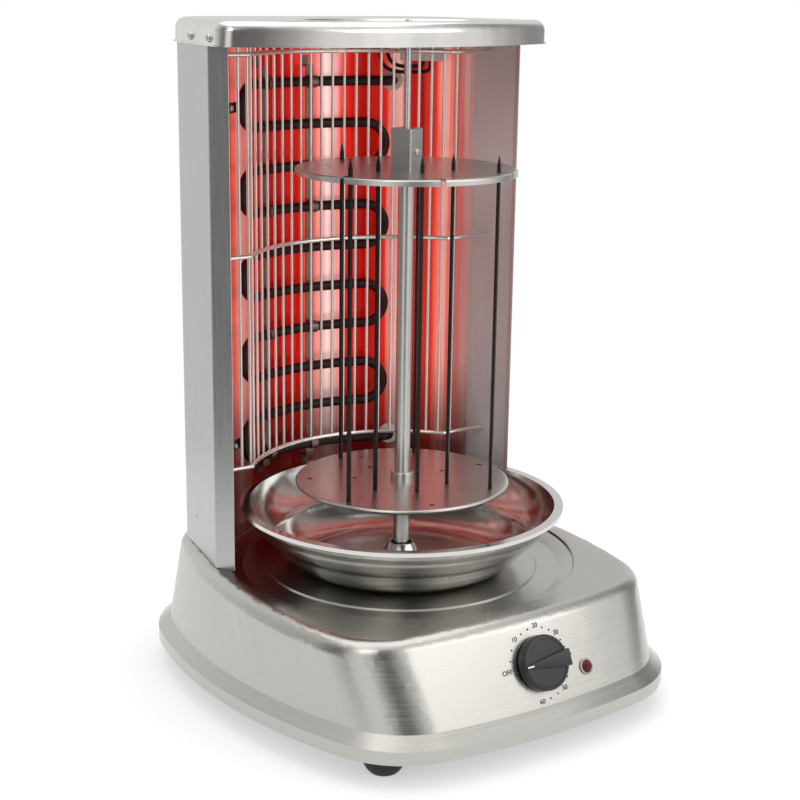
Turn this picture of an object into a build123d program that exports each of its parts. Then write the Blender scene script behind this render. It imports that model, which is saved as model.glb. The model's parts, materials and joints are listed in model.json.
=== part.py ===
from build123d import *
import math
import os

# Electric skewer grill, in millimetres. The spit's axis is the Z axis, the table is z = 0,
# the control panel faces -Y and the heater stands behind the spit, on the +Y side.
# An angle "behind" the spit is measured from +Y, positive towards +X.

# ---- pressed base ----
sheet = 1.0                    # base and cover sheet
foot_height = 18.0             # table to the skirt's lower edge
lip_height = 10.0              # upright lip round the skirt
band_height = 8.0              # sloping band between the lip and the body
skirt_step = 9.5               # how far the band draws in
base_top = 95.0
skirt_front = 193.5            # spit axis to the skirt's front
skirt_half_width = 172.5
skirt_back = 172.0
skirt_side_radius = 400.0
skirt_side_centre = 5.0        # Y of the widest place
skirt_corner_front = 75.0
skirt_corner_back = 95.0
panel_radius = 550.0           # the front's gentle bow
top_front = 157.0
top_half_width = 153.0
top_back = 163.0
top_side_radius = 420.0
top_side_centre = -22.0
top_corner_front = 62.0
top_corner_back = 42.0
shoulder_radius = 12.0         # rounding between the body and its top
recess_radius = 135.0
recess_floor_radius = 124.5
recess_depth = 7.0
recess_edge = 3.0              # width of the rounding at the recess's edge
recess_edge_drop = 2.2
emboss_radius = 106.0          # inner circle pressed up from the recess floor
emboss_height = 1.2
plate_thickness = 1.2
plate_gap = 0.3                # base plate to the lip all round
foot_radius = 15.5
foot_flat_radius = 10.0
foot_x = 111.0
foot_front_y = -143.0
foot_back_y = 108.0
foot_screw_radius = 2.0
foot_pocket_radius = 6.0
foot_pocket_depth = 5.0

# ---- casing, reflector and cover ----
casing_sheet = 0.8
casing_back_gap = 6.0          # reflector's folds to the casing's back
casing_side_gap = 18.3         # reflector's front edge to the flange's corner, along X
casing_taper = 21.5            # how much the side draws in from the flange to the back
flange_y = 47.5                # outer corner of the front flange
flange_width = 8.5             # the flange turns in by this much
flange_reach = 14.5            # and forward by this much
casing_corner = 42.0
flange_corner = 3.0
reflector_sheet = 0.6
reflector_radius = 148.0
reflector_screw_heights = (120.0, 471.0)
reflector_half_angle = 55.0
reflector_facets = 11
reflector_tab = 12.0           # tab along the casing wall
reflector_top = 484.0
seat_gap = 0.1                 # parts of one assembly that rest on each other
cover_bottom = 486.0
cover_height = 18.0
cover_front = 22.0             # spit axis to the cover's front
cover_corner_y = 18.0          # where the front bow meets the sides
cover_edge_radius = 8.0
cover_front_corner = 14.0
cover_lip = 1.5
casing_top = cover_bottom + cover_height - cover_edge_radius - 0.5   # below the cover's rounding
dish_half_length = 75.0
dish_half_width = 38.0
dish_centre_y = 28.0
dish_depth = 4.0
dish_draft = 3.0
cover_screw_y = (38.0, 84.0)
cover_screw_z = 491.5

# ---- heater ----
heater_gap = 14.0              # tube's centre to the reflector's folds
element_radius = reflector_radius - heater_gap   # spit axis to the tube's centre
tube_radius = 4.0
element_rows = 10
element_top = 453.5
row_pitch = 33.4
element_left = -28.0           # angle behind, where the left bends begin
element_right = 20.0           # where the right bends begin
terminal_angle = 27.0
terminal_bend = 7.0
insulator_radius = 6.5
insulator_length = 9.0
terminal_pin = 1.6
terminal_box = (36.0, 18.0, 14.0)   # ceramic box: along the reflector, radially, upright
terminal_box_angle = 40.0
terminal_box_top = 484.0
lead_radius = 1.5
lead_angle = 26.5
lead_end_radius = element_radius
strap_angles = (-20.0, 0.0)   # middles of two reflector facets
strap_width = 7.0
strap_sheet = 1.2
hook_rows = (0, 3, 6, 9)
clip_angle = -40.0             # middle of a reflector facet
clip_length = 24.0
clip_width = 8.0
clip_screw = 1.3

# ---- wire guard ----
guard_gap = 14.0               # guard's wires to the heater's tube, centre to centre
guard_radius = element_radius - guard_gap
wire_radius = 1.2
wire_count = 21                # upright wires on the bow, besides one on each tab
wire_step = 4.9                # degrees
tab_wire_gap = 8.0             # bow's end to the wire on the tab
rail_radius = 1.7
rail_heights = (162.0, 328.0, 478.0)
rail_tab_y = 72.5
weld_sink = 0.4                # how far a welded wire sinks into its rail
guard_top = 484.0

# ---- spit ----
tube_outer = 6.0
tube_bore = 4.05
shaft_radius = 4.0
tube_bottom = 97.0
pin_radius = 1.25
pin_length = 13.0
running = 0.05                 # radial clearance of a shaft in its hole
disc_radius = 83.0
disc_sheet = 1.2
lower_disc_top = 157.0
lower_rim = 1.75               # radius of the rolled edge
upper_disc_top = 398.0
upper_rim_drop = 4.5
skewer_places = 7              # places on each of the two circles
first_place = -158.0           # degrees from +X
outer_circle = 72.0
inner_circle = 37.0
skewer_width = 2.4
skewer_top = 410.0
skewer_point = 7.0
cup_radius = 3.2
cup_depth = 5.5
hole_gap = 0.35                # skewer's corner to the side of its hole
loaded = (("outer", 0), ("inner", 0), ("inner", 1), ("inner", 2), ("outer", 2), ("outer", 4), ("outer", 5))
hub_width = 17.5
hub_height = 29.0
hub_sheet = 1.2
collar_radius = 9.0
collar_height = 6.0
rod_radius = 2.7
rod_bottom = 418.0
rod_top = 505.0
pivot_plate = (46.0, 20.0, 1.5)

# ---- drip bowl ----
bowl_sheet = 0.8
bowl_rim_radius = 126.0
bowl_rim_width = 6.5
bowl_rim_top = 139.5
bowl_floor_radius = 74.0
bowl_step_radius = 101.0       # outside ridge half way up the wall
bowl_step_height = 22.0
bowl_step = 1.6
boss_height = 14.5
boss_radius = 10.0
boss_foot_radius = 18.0
boss_hole = 8.2

# ---- timer, lamp, drive ----
knob_x = 3.0
knob_z = 63.3
knob_radius = 20.0
knob_top_radius = 18.6
knob_height = 8.0
knob_gap = 0.8
grip_width = 9.0
grip_height = 7.0
grip_reach = 1.5               # how far the grip's tip passes the rim
timer_shaft = 3.0
timer_neck = 4.6
timer_box = (38.0, 38.0, 20.0)
panel_back = 2.2               # panel's outer face to what is held behind it
lamp_x = 43.5
lamp_z = 52.5
lamp_radius = 4.6
bezel_radius = 6.0
motor_radius = 25.0
motor_height = 17.0
motor_bottom = 52.0
shaft_rise = 18.0              # the shaft reaches this far up the tube
bush_radius = 9.0
bush_flange = 13.0
gland_radius = 8.0
gland_height = 62.0

skirt_top = foot_height + lip_height + band_height
recess_floor = base_top - recess_depth
bowl_bottom = recess_floor + emboss_height


def behind(angle, radius, height=0.0):
    """Place at an angle behind the spit."""
    turn = math.radians(angle)
    return Vector(radius * math.sin(turn), radius * math.cos(turn), height)


def around(angle, radius, height=0.0):
    """Place on a circle round the spit, the angle counted from +X."""
    turn = math.radians(angle)
    return Vector(radius * math.cos(turn), radius * math.sin(turn), height)


def rod_between(start, end, radius):
    """Round bar from one point to another."""
    line = Vector(end) - Vector(start)
    return Plane(origin=start, z_dir=line) * Cylinder(
        radius, line.length, align=(Align.CENTER, Align.CENTER, Align.MIN)
    )


def standing(radius, height, bottom, x=0.0, y=0.0):
    """Upright cylinder standing at a height."""
    return Pos(x, y, bottom) * Cylinder(radius, height, align=(Align.CENTER, Align.CENTER, Align.MIN))


def pan_screw(seat, outward, shank_length, shank_radius=1.5):
    """Pan-head screw: its head's flat side lies on the seat and the shank runs inwards."""
    head_radius = 2.0 * shank_radius
    head_height = 0.75 * head_radius
    head = Cylinder(head_radius, head_height, align=(Align.CENTER, Align.CENTER, Align.MIN))
    head = fillet(head.edges().group_by(Axis.Z)[-1], 0.6 * head_height)
    shank = Cylinder(shank_radius, shank_length, align=(Align.CENTER, Align.CENTER, Align.MAX))
    return Plane(origin=seat, z_dir=outward) * (head + shank)


def screw_hole(seat, outward, depth, shank_radius=1.5):
    """The clearance hole for such a screw, cut both ways from its seat."""
    return Plane(origin=seat, z_dir=outward) * Cylinder(shank_radius + seat_gap, 2 * depth)


# ---------------------------------------------------------------- base
def base_plan(front, half_width, back, bow, side_radius, side_centre, corner_front, corner_back):
    """Outline of the base at one height: bowed front and sides, straight back, rounded corners."""
    reach = 2 * (front + back)
    plan = (
        Pos(0, bow - front) * Circle(bow)
        & Pos(half_width - side_radius, side_centre) * Circle(side_radius)
        & Pos(side_radius - half_width, side_centre) * Circle(side_radius)
        & Pos(0, back - reach / 2) * Rectangle(reach, reach)
    )
    corners = plan.vertices().sort_by(Axis.Y)
    plan = fillet(corners[-2:], corner_back)
    return fillet(plan.vertices().sort_by(Axis.Y)[:2], corner_front)


def skirt_plan(inset):
    return base_plan(
        skirt_front - inset,
        skirt_half_width - inset,
        skirt_back - inset,
        panel_radius - inset,
        skirt_side_radius - inset,
        skirt_side_centre,
        skirt_corner_front - inset,
        skirt_corner_back - inset,
    )


def top_plan(inset):
    return base_plan(
        top_front - inset,
        top_half_width - inset,
        top_back - inset,
        panel_radius - inset,
        top_side_radius - inset,
        top_side_centre,
        top_corner_front - inset,
        top_corner_back - inset,
    )


def pressed_body(inset):
    """The base's outer form, drawn in by the given amount."""
    lip = extrude(Pos(0, 0, foot_height) * skirt_plan(inset), lip_height)
    band = loft(
        [Pos(0, 0, foot_height + lip_height) * skirt_plan(inset), Pos(0, 0, skirt_top) * skirt_plan(skirt_step + inset)],
        ruled=True,
    )
    upper = loft(
        [Pos(0, 0, skirt_top) * skirt_plan(skirt_step + inset), Pos(0, 0, base_top - inset) * top_plan(inset)],
        ruled=True,
    )
    upper = fillet(upper.faces().sort_by(Axis.Z)[-1].edges(), shoulder_radius - inset)
    return lip + band + upper


def recess(growth):
    """Round recess in the base's top; growth thickens it for the underside of the pressing."""
    floor = recess_floor - growth
    step = emboss_height
    profile = Polyline(
        (0, base_top + 1),
        (recess_radius + growth + recess_edge, base_top + 1),
        (recess_radius + growth + recess_edge, base_top - growth),
        (recess_radius + growth + 0.4 * recess_edge, base_top - growth - 0.3 * recess_edge_drop),
        (recess_radius + growth, base_top - growth - recess_edge_drop),
        (recess_floor_radius + growth, floor),
        (emboss_radius - growth + step, floor),
        (emboss_radius - growth, floor + step),
        (0, floor + step),
        (0, base_top + 1),
    )
    return revolve(Plane.XZ * make_face(profile), Axis.Z)


panel_lean = math.atan2(skirt_front - skirt_step - top_front, base_top - skirt_top)


def panel_plane(x, height):
    """Plane on the front panel, its Z axis pointing out at the user and its Y axis up the panel."""
    bow = panel_radius - math.sqrt(panel_radius**2 - x**2)
    y = bow - (skirt_front - skirt_step) + (height - skirt_top) * math.tan(panel_lean)
    across = Vector(math.cos(math.asin(x / panel_radius)), x / panel_radius, 0)
    up_panel = Vector(0, math.sin(panel_lean), math.cos(panel_lean))
    return Plane(origin=(x, y, height), x_dir=across, z_dir=across.cross(up_panel))


knob_plane = panel_plane(knob_x, knob_z)
lamp_plane = panel_plane(lamp_x, lamp_z)
foot_places = [
    (side * foot_x, y) for side in (-1, 1) for y in (foot_front_y, foot_back_y)
]

# the base's back wall, where the cord comes in
back_lean = math.atan2(skirt_back - skirt_step - top_back, base_top - skirt_top)
gland_y = skirt_back - skirt_step - (gland_height - skirt_top) * math.tan(back_lean)
gland_plane = Plane(
    origin=(0, gland_y, gland_height), x_dir=(1, 0, 0), z_dir=(0, math.cos(back_lean), math.sin(back_lean))
)


def make_base_shell():
    hollow = pressed_body(sheet) + extrude(
        Pos(0, 0, foot_height - 1) * skirt_plan(sheet), 2
    )
    shell = (pressed_body(0) - recess(0)) - (hollow - recess(sheet))
    shell -= standing(bush_radius + seat_gap, 4 * sheet, bowl_bottom - 3 * sheet)
    shell -= knob_plane * Cylinder(timer_neck + seat_gap, 10 * sheet)
    shell -= lamp_plane * Cylinder(lamp_radius + seat_gap, 10 * sheet)
    shell -= gland_plane * Cylinder(gland_radius + seat_gap, 10 * sheet)
    return shell


def make_base_plate():
    plate = extrude(
        Pos(0, 0, foot_height + seat_gap) * skirt_plan(sheet + plate_gap), plate_thickness
    )
    for x, y in foot_places:
        plate -= standing(foot_screw_radius + seat_gap, 4 * plate_thickness, foot_height - plate_thickness, x, y)
    slot = SlotOverall(46, 4)
    for row in range(-3, 4):
        plate -= extrude(Pos(0, 12 * row - 60, foot_height - 1) * slot, 3 * plate_thickness)
    return plate


def make_foot(x, y):
    """Domed rubber foot with a pocket for its screw."""
    dome = (
        Line((0, 0), (foot_flat_radius, 0))
        + ThreePointArc(
            (foot_flat_radius, 0),
            (foot_radius - 0.25 * (foot_radius - foot_flat_radius), foot_height * 0.3),
            (foot_radius, foot_height),
        )
        + Line((foot_radius, foot_height), (0, foot_height))
        + Line((0, foot_height), (0, 0))
    )
    foot = revolve(Plane.XZ * make_face(dome), Axis.Z)
    foot -= standing(foot_pocket_radius, foot_pocket_depth + 1, -1)
    foot -= standing(foot_screw_radius + seat_gap, foot_height + 1, 0)
    return Pos(x, y, 0) * foot


def make_foot_screw(x, y):
    length = foot_height + plate_thickness + 3 - foot_pocket_depth
    return Pos(x, y, 0) * pan_screw((0, 0, foot_pocket_depth), (0, 0, -1), length, foot_screw_radius)


# ---------------------------------------------------------------- casing, reflector and cover
reflector_side = reflector_radius * math.sin(math.radians(reflector_half_angle))
casing_back = reflector_radius + casing_back_gap
flange_outer = (reflector_side + casing_side_gap, flange_y)
flange_inner = (flange_outer[0] - flange_width, flange_y - flange_reach)
casing_rear_x = flange_outer[0] - casing_taper  # where the side's line meets the back's line
side_slope = (flange_outer[0] - casing_rear_x) / (casing_back - flange_outer[1])
wall_normal = Vector(1, side_slope, 0).normalized()


def wall_x(y, depth=0.0):
    """X of the casing's right wall at a given Y, counted from its outer face."""
    return flange_outer[0] - side_slope * (y - flange_outer[1]) - depth / wall_normal.X


def casing_plan():
    right = [flange_inner, flange_outer, (casing_rear_x, casing_back)]
    left = [(-x, y) for x, y in reversed(right)]
    plan = make_face(Polyline(right + left, close=True))
    back_corners = plan.vertices().sort_by(Axis.Y)[-2:]
    plan = fillet(back_corners, casing_corner)
    flange_corners = plan.vertices().sort_by(Axis.X)
    return fillet([flange_corners[0], flange_corners[-1]], flange_corner)


reflector_tab_y = reflector_radius * math.cos(math.radians(reflector_half_angle)) + 6
reflector_screw_places = [
    (side, reflector_tab_y + reflector_tab / 2, z) for side in (-1, 1) for z in reflector_screw_heights
]


def wall_seat(side, y, z, depth):
    """Point on the casing's wall, and the direction out of the casing there."""
    outward = Vector(side * wall_normal.X, wall_normal.Y, 0)
    return Vector(side * wall_x(y), y, z) - outward * depth, outward


def make_casing():
    outer = casing_plan()
    inner = offset(casing_plan(), amount=-casing_sheet, kind=Kind.INTERSECTION)
    mouth = Pos(0, flange_inner[1]) * Rectangle(2 * flange_inner[0] - 0.6, 4 * casing_sheet)
    casing = extrude(
        Pos(0, 0, base_top + seat_gap) * (outer - inner - mouth), casing_top - base_top - seat_gap
    )
    for side, y, z in reflector_screw_places:
        point, outward = wall_seat(side, y, z, casing_sheet)
        casing -= screw_hole(point, outward, 4)
    for side in (-1, 1):
        for y in cover_screw_y:
            point, outward = wall_seat(side, y, cover_screw_z, 0)
            casing -= screw_hole(point, outward, 4)
    return casing


facet_step = 2 * reflector_half_angle / reflector_facets
# spit axis to the middle of a facet's polished side
facet_distance = reflector_radius * math.cos(math.radians(facet_step / 2)) - reflector_sheet / 2


def make_reflector():
    """Polished sheet folded into upright facets, with a tab along each casing wall."""
    folds = [
        behind(reflector_half_angle - facet_step * i, reflector_radius) for i in range(reflector_facets + 1)
    ]
    inset = casing_sheet + seat_gap + reflector_sheet / 2
    tab_start = Vector(wall_x(reflector_tab_y, inset), reflector_tab_y)
    tab_end = Vector(wall_x(reflector_tab_y + reflector_tab, inset), reflector_tab_y + reflector_tab)
    right = [tab_end, tab_start]
    left = [Vector(-p.X, p.Y) for p in reversed(right)]
    path = Polyline(*[(p.X, p.Y) for p in right + folds + left])
    sheet_plan = trace(path, line_width=reflector_sheet)
    reflector = extrude(
        Pos(0, 0, base_top + seat_gap) * sheet_plan, reflector_top - base_top - seat_gap
    )
    for side, y, z in reflector_screw_places:
        point, outward = wall_seat(side, y, z, casing_sheet)
        reflector -= screw_hole(point, outward, 4)
    for tip, radial in terminal_places():
        reflector -= Plane(origin=tip, z_dir=radial) * Cylinder(insulator_radius + seat_gap, 60)
    return reflector


def cover_plan(inset):
    """Outline of the cover: it follows the casing's walls and bows out at the front."""
    margin = seat_gap + sheet - inset
    rear = (wall_x(casing_back + margin, -margin), casing_back + margin)
    corner = (wall_x(cover_corner_y, -margin), cover_corner_y)
    front = ThreePointArc((-corner[0], corner[1]), (0, -cover_front + inset), corner)
    rest = Polyline(corner, rear, (-rear[0], rear[1]), (-corner[0], corner[1]))
    plan = make_face(front.edges() + rest.edges())
    plan = fillet(plan.vertices().sort_by(Axis.Y)[-2:], casing_corner + margin)
    return fillet(plan.vertices().sort_by(Axis.Y)[:2], cover_front_corner - inset)


def make_top_cover():
    def block(inset):
        solid = extrude(
            Pos(0, 0, cover_bottom) * cover_plan(inset), cover_height - inset
        )
        return fillet(solid.faces().sort_by(Axis.Z)[-1].edges(), cover_edge_radius - inset)

    top = cover_bottom + cover_height

    def dish(growth):
        rim = Ellipse(dish_half_length + growth, dish_half_width + growth)
        floor = Ellipse(dish_half_length - dish_draft + growth, dish_half_width - dish_draft + growth)
        return Pos(0, dish_centre_y, 0) * loft(
            [Pos(0, 0, top) * rim, Pos(0, 0, top - dish_depth - growth) * floor], ruled=True
        )

    lip = extrude(
        Pos(0, 0, cover_bottom) * (cover_plan(-cover_lip) - cover_plan(0)), sheet
    )
    hollow = block(sheet) - dish(sheet)
    cover = block(0) - dish(0) - hollow + lip
    for side in (-1, 1):
        for y in cover_screw_y:
            point, outward = wall_seat(side, y, cover_screw_z, 0)
            cover -= screw_hole(point, outward, 6)
    cover -= standing(rod_radius + running, 4 * cover_height, cover_bottom)
    for side in (-1, 1):
        cover -= screw_hole((side * plate_screw_x, 0, dish_floor), (0, 0, 1), 8)
    return cover


dish_floor = cover_bottom + cover_height - dish_depth
plate_top = dish_floor - sheet - seat_gap
plate_screw_x = 16.0


def make_pivot_plate():
    """Stiffener under the dish that carries the pivot rod's nut."""
    length, width, thick = pivot_plate
    plate = Pos(0, 0, plate_top - thick / 2) * Box(length, width, thick)
    plate = fillet(plate.edges().filter_by(Axis.Z), 4)
    plate -= standing(rod_radius + running, 4 * thick, plate_top - 2 * thick)
    for side in (-1, 1):
        plate -= screw_hole((side * plate_screw_x, 0, dish_floor), (0, 0, 1), 8)
    return plate


def make_rod_nut(bottom, height):
    nut = extrude(Pos(0, 0, bottom) * RegularPolygon(2 * rod_radius, 6), height)
    return nut - standing(rod_radius + running, 2 * height, bottom - height / 2)


def make_top_pivot_rod():
    rod = standing(rod_radius, rod_top - rod_bottom, rod_bottom)
    rod = chamfer(rod.edges().group_by(Axis.Z)[0], 0.8)
    slot = Pos(0, 0, rod_top) * Box(4 * rod_radius, 1.0, 3.0)
    return rod - slot


# ---------------------------------------------------------------- heater
def row_height(row):
    return element_top - row_pitch * row


def arc_row(row, first, last):
    """One level row of the tube, round the back of the spit."""
    start = behind(first, element_radius, row_height(row))
    tangent = behind(first + 90, 1)
    disc = Plane(origin=start, z_dir=tangent) * Circle(tube_radius)
    return revolve(disc, Axis((0, 0, 0), (0, 0, -1)), last - first)


def return_bend(angle, upper_row, outward):
    """Half-round bend from one row down to the next, flat against the heater's cylinder."""
    upper = behind(angle, element_radius, row_height(upper_row))
    middle = upper - Vector(0, 0, row_pitch / 2)
    tangent = behind(angle + 90, 1)
    disc = Plane(origin=upper, z_dir=tangent) * Circle(tube_radius)
    radial = behind(angle, 1)
    return revolve(disc, Axis(middle, radial * outward), 180)


def terminal_elbow(row, first):
    """The tube's end: along the row, then round and out through the reflector."""
    straight = arc_row(row, first, terminal_angle)
    start = behind(terminal_angle, element_radius, row_height(row))
    tangent = behind(terminal_angle + 90, 1)
    radial = behind(terminal_angle, 1)
    disc = Plane(origin=start, z_dir=tangent) * Circle(tube_radius)
    centre = start + radial * terminal_bend
    bend = revolve(disc, Axis(centre, (0, 0, 1)), 90)
    tip = centre + tangent * terminal_bend
    depth = facet_distance - element_radius - terminal_bend
    stub = Plane(origin=tip, z_dir=radial) * Cylinder(
        tube_radius, depth, align=(Align.CENTER, Align.CENTER, Align.MIN)
    )
    return straight + bend + stub, tip, radial


def make_heating_element():
    tube = None
    for row in range(element_rows):
        right_end = element_right
        piece = arc_row(row, element_left, right_end)
        tube = piece if tube is None else tube + piece
    for row in range(0, element_rows - 1):
        at_left = row % 2 == 0
        angle = element_left if at_left else element_right
        tube += return_bend(angle, row, -1 if at_left else 1)
    for row in (0, element_rows - 1):
        elbow, tip, radial = terminal_elbow(row, element_right)
        tube += elbow
    return tube


def terminal_places():
    """Where each end of the tube leaves through the reflector."""
    places = []
    for row in (0, element_rows - 1):
        start = behind(terminal_angle, element_radius, row_height(row))
        radial = behind(terminal_angle, 1)
        tangent = behind(terminal_angle + 90, 1)
        places.append((start + (radial + tangent) * terminal_bend, radial))
    return places

def make_reflector_screw(side, y, z):
    """Its head is inside, on the reflector's tab."""
    seat, outward = wall_seat(side, y, z, casing_sheet + seat_gap + reflector_sheet)
    return pan_screw(seat, outward * -1, reflector_sheet + seat_gap + casing_sheet)


def make_cover_screw(side, y):
    seat, outward = wall_seat(side, y, cover_screw_z, -seat_gap - sheet)
    return pan_screw(seat, outward, 5)


def make_plate_screw(side):
    return pan_screw((side * plate_screw_x, 0, dish_floor), (0, 0, 1), 6)


def make_insulator(tip, radial):
    """Ceramic collar that carries the tube's end in the reflector."""
    start = tip + radial * (facet_distance - element_radius - terminal_bend - insulator_length / 2)
    plane = Plane(origin=start, z_dir=radial)
    collar = plane * Cylinder(insulator_radius, insulator_length, align=(Align.CENTER, Align.CENTER, Align.MIN))
    head = plane * Cylinder(insulator_radius + 2, 2.0, align=(Align.CENTER, Align.CENTER, Align.MIN))
    bore = plane * Cylinder(tube_radius + running, insulator_length / 2, align=(Align.CENTER, Align.CENTER, Align.MIN))
    pin_hole = plane * Cylinder(terminal_pin + running, 3 * insulator_length)
    return collar + head - bore - pin_hole


def make_terminal_pin(tip, radial):
    start = tip + radial * (facet_distance - element_radius - terminal_bend)
    return Plane(origin=start, z_dir=radial) * Cylinder(
        terminal_pin, insulator_length, align=(Align.CENTER, Align.CENTER, Align.MIN)
    )


def radial_plane(angle, height, radius=0.0):
    """Plane behind the spit with X along the reflector, Y up it, Z outwards."""
    tangent = behind(angle + 90, 1)
    return Plane(origin=behind(angle, radius, height), x_dir=tangent * -1, z_dir=behind(angle, 1))


strap_front = element_radius + tube_radius + seat_gap


def make_element_strap(angle):
    """Upright strap behind the tube, footed on the reflector, with a ring round some rows."""
    low = row_height(element_rows - 1) - 12
    high = row_height(0) + 12
    middle = (low + high) / 2
    depth = facet_distance - strap_front
    strap = radial_plane(angle, middle, strap_front + strap_sheet / 2) * Box(strap_width, high - low, strap_sheet)
    for end, way in ((low, -1), (high, 1)):
        leg = radial_plane(angle, end, strap_front + depth / 2) * Box(strap_width, strap_sheet, depth)
        foot = radial_plane(angle, end + way * 4, facet_distance - strap_sheet / 2) * Box(
            strap_width, 8, strap_sheet
        )
        strap += leg + foot
    for row in hook_rows:
        centre = behind(angle, element_radius, row_height(row))
        plane = Plane(origin=centre, z_dir=behind(angle + 90, 1))
        ring = plane * (Circle(tube_radius + seat_gap + 1) - Circle(tube_radius + seat_gap))
        strap += extrude(ring, strap_width / 2 - 0.5, both=True)
    return strap


clip_rows = (0, element_rows - 2)
clip_turn = math.radians(element_left - clip_angle)
# deepest place of a left bend, as the clip's facet sees it
clip_front = (
    element_radius * math.cos(clip_turn) + row_pitch / 2 * math.sin(clip_turn) + tube_radius + hole_gap
)


def make_element_clip(upper_row):
    """Small plate behind a left bend, on a post from the reflector."""
    height = row_height(upper_row) - row_pitch / 2
    plate = radial_plane(clip_angle, height, clip_front + strap_sheet / 2) * Pos(-clip_length / 4, 0, 0)
    clip = plate * Box(clip_length, clip_width, strap_sheet)
    clip += radial_plane(clip_angle, height, (clip_front + facet_distance) / 2) * Box(
        clip_width, clip_width, facet_distance - clip_front
    )
    return clip - screw_hole(behind(clip_angle, clip_front, height), behind(clip_angle, -1), 6, clip_screw)


def make_clip_screw(upper_row):
    height = row_height(upper_row) - row_pitch / 2
    return pan_screw(behind(clip_angle, clip_front, height), behind(clip_angle, -1), 5, clip_screw)


def make_terminal_box():
    """Ceramic box under the cover where the leads end, on a spacer from the reflector."""
    along, deep, tall = terminal_box
    front = guard_radius + wire_radius + 5
    centre_height = terminal_box_top - tall / 2
    box = radial_plane(terminal_box_angle, centre_height, front + deep / 2) * Box(along, tall, deep)
    box = fillet(box.edges().filter_by(Axis.Z), 2)
    gap = facet_distance - front - deep
    return box + radial_plane(terminal_box_angle, centre_height, facet_distance - gap / 2) * Box(16, tall - 4, gap)


def lead_radii(points):
    """Bend radii for a hanging lead: as large as each pair of runs allows."""
    radii = []
    for before, corner, after in zip(points, points[1:], points[2:]):
        first, second = corner - before, after - corner
        turn = math.radians(first.get_angle(second))
        radii.append(0.45 * min(first.length, second.length) / math.tan(turn / 2))
    return radii


def make_lead(spread, drop):
    """Heat-proof lead: over the reflector's top edge, down in a loop and up into the terminal box."""
    box_bottom = terminal_box_top - terminal_box[2]
    left = lead_angle - spread
    right = terminal_box_angle + spread
    route = [
        behind(left - 1.0, reflector_radius + 4.5, reflector_top - 14),
        behind(left - 0.8, reflector_radius + 4.0, reflector_top - 1),
        behind(left - 0.4, reflector_radius - 0.5, reflector_top + 5),
        behind(left + 0.5, reflector_radius - 6.0, reflector_top - 2),
        behind(left + 2.5, reflector_radius - 10.0, box_bottom - 2.5 - drop),
        behind((left + right) / 2, lead_end_radius + 1, box_bottom - 5.5 - drop),
        behind(right, lead_end_radius, box_bottom - 4 - drop),
        behind(right, lead_end_radius, box_bottom - seat_gap),
    ]
    path = FilletPolyline(*route, radius=lead_radii(route))
    start = Plane(origin=route[0], z_dir=path % 0)
    return sweep(start * Circle(lead_radius), path=path, transition=Transition.RIGHT)


# ---------------------------------------------------------------- wire guard
rail_bow = guard_radius - wire_radius - rail_radius + weld_sink
rail_bow_end = math.degrees(math.acos(rail_tab_y / rail_bow))


def make_rail(height):
    """Horizontal rail: a bow round the spit with a straight tab to each casing wall."""
    start = behind(-rail_bow_end, rail_bow, height)
    disc = Plane(origin=start, z_dir=behind(90 - rail_bow_end, 1)) * Circle(rail_radius)
    rail = revolve(disc, Axis((0, 0, 0), (0, 0, -1)), 2 * rail_bow_end)
    for side in (-1, 1):
        corner = behind(side * rail_bow_end, rail_bow, height)
        tip = (side * (wall_x(rail_tab_y + rail_radius, casing_sheet) - seat_gap), rail_tab_y, height)
        rail += rod_between(corner, tip, rail_radius)
        rail += Pos(corner) * Sphere(rail_radius)
    return rail


def wire_places():
    places = []
    for i in range(wire_count):
        place = behind((i - (wire_count - 1) / 2) * wire_step, guard_radius)
        places.append((place.X, place.Y))
    tab_x = rail_bow * math.sin(math.radians(rail_bow_end)) + tab_wire_gap
    tab_y = rail_tab_y + rail_radius + wire_radius - weld_sink
    return places + [(-tab_x, tab_y), (tab_x, tab_y)]


def make_wire_guard():
    bottom = rail_heights[0] - rail_radius
    wires = [standing(wire_radius, guard_top - bottom, bottom, x, y) for x, y in wire_places()]
    guard = make_rail(rail_heights[0])
    for height in rail_heights[1:]:
        guard += make_rail(height)
    return guard + wires


# ---------------------------------------------------------------- spit
def skewer_place(circle, index):
    radius = outer_circle if circle == "outer" else inner_circle
    angle = first_place + 360.0 / skewer_places * index
    return angle, around(angle, radius)


skewer_hole = skewer_width / math.sqrt(2) + hole_gap
cup_floor = lower_disc_top - cup_depth + 0.8
tube_top = rod_bottom - 1.5


def make_lower_disc():
    """Flat disc with a rolled edge and a pressed cup under each skewer place."""
    rim_centre = disc_radius - lower_rim
    profile = Rectangle(rim_centre, disc_sheet, align=Align.MIN)
    profile = Pos(0, lower_disc_top - disc_sheet) * profile
    profile += Pos(rim_centre, lower_disc_top - lower_rim) * Circle(lower_rim)
    disc = revolve(Plane.XZ * profile, Axis.Z)
    for circle in ("outer", "inner"):
        for index in range(skewer_places):
            place = skewer_place(circle, index)[1]
            disc += standing(cup_radius, cup_depth, lower_disc_top - cup_depth, place.X, place.Y)
            disc -= standing(skewer_hole, cup_depth, cup_floor, place.X, place.Y)
    return disc - standing(tube_outer + running, 4 * disc_sheet, lower_disc_top - 2 * disc_sheet)


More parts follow.
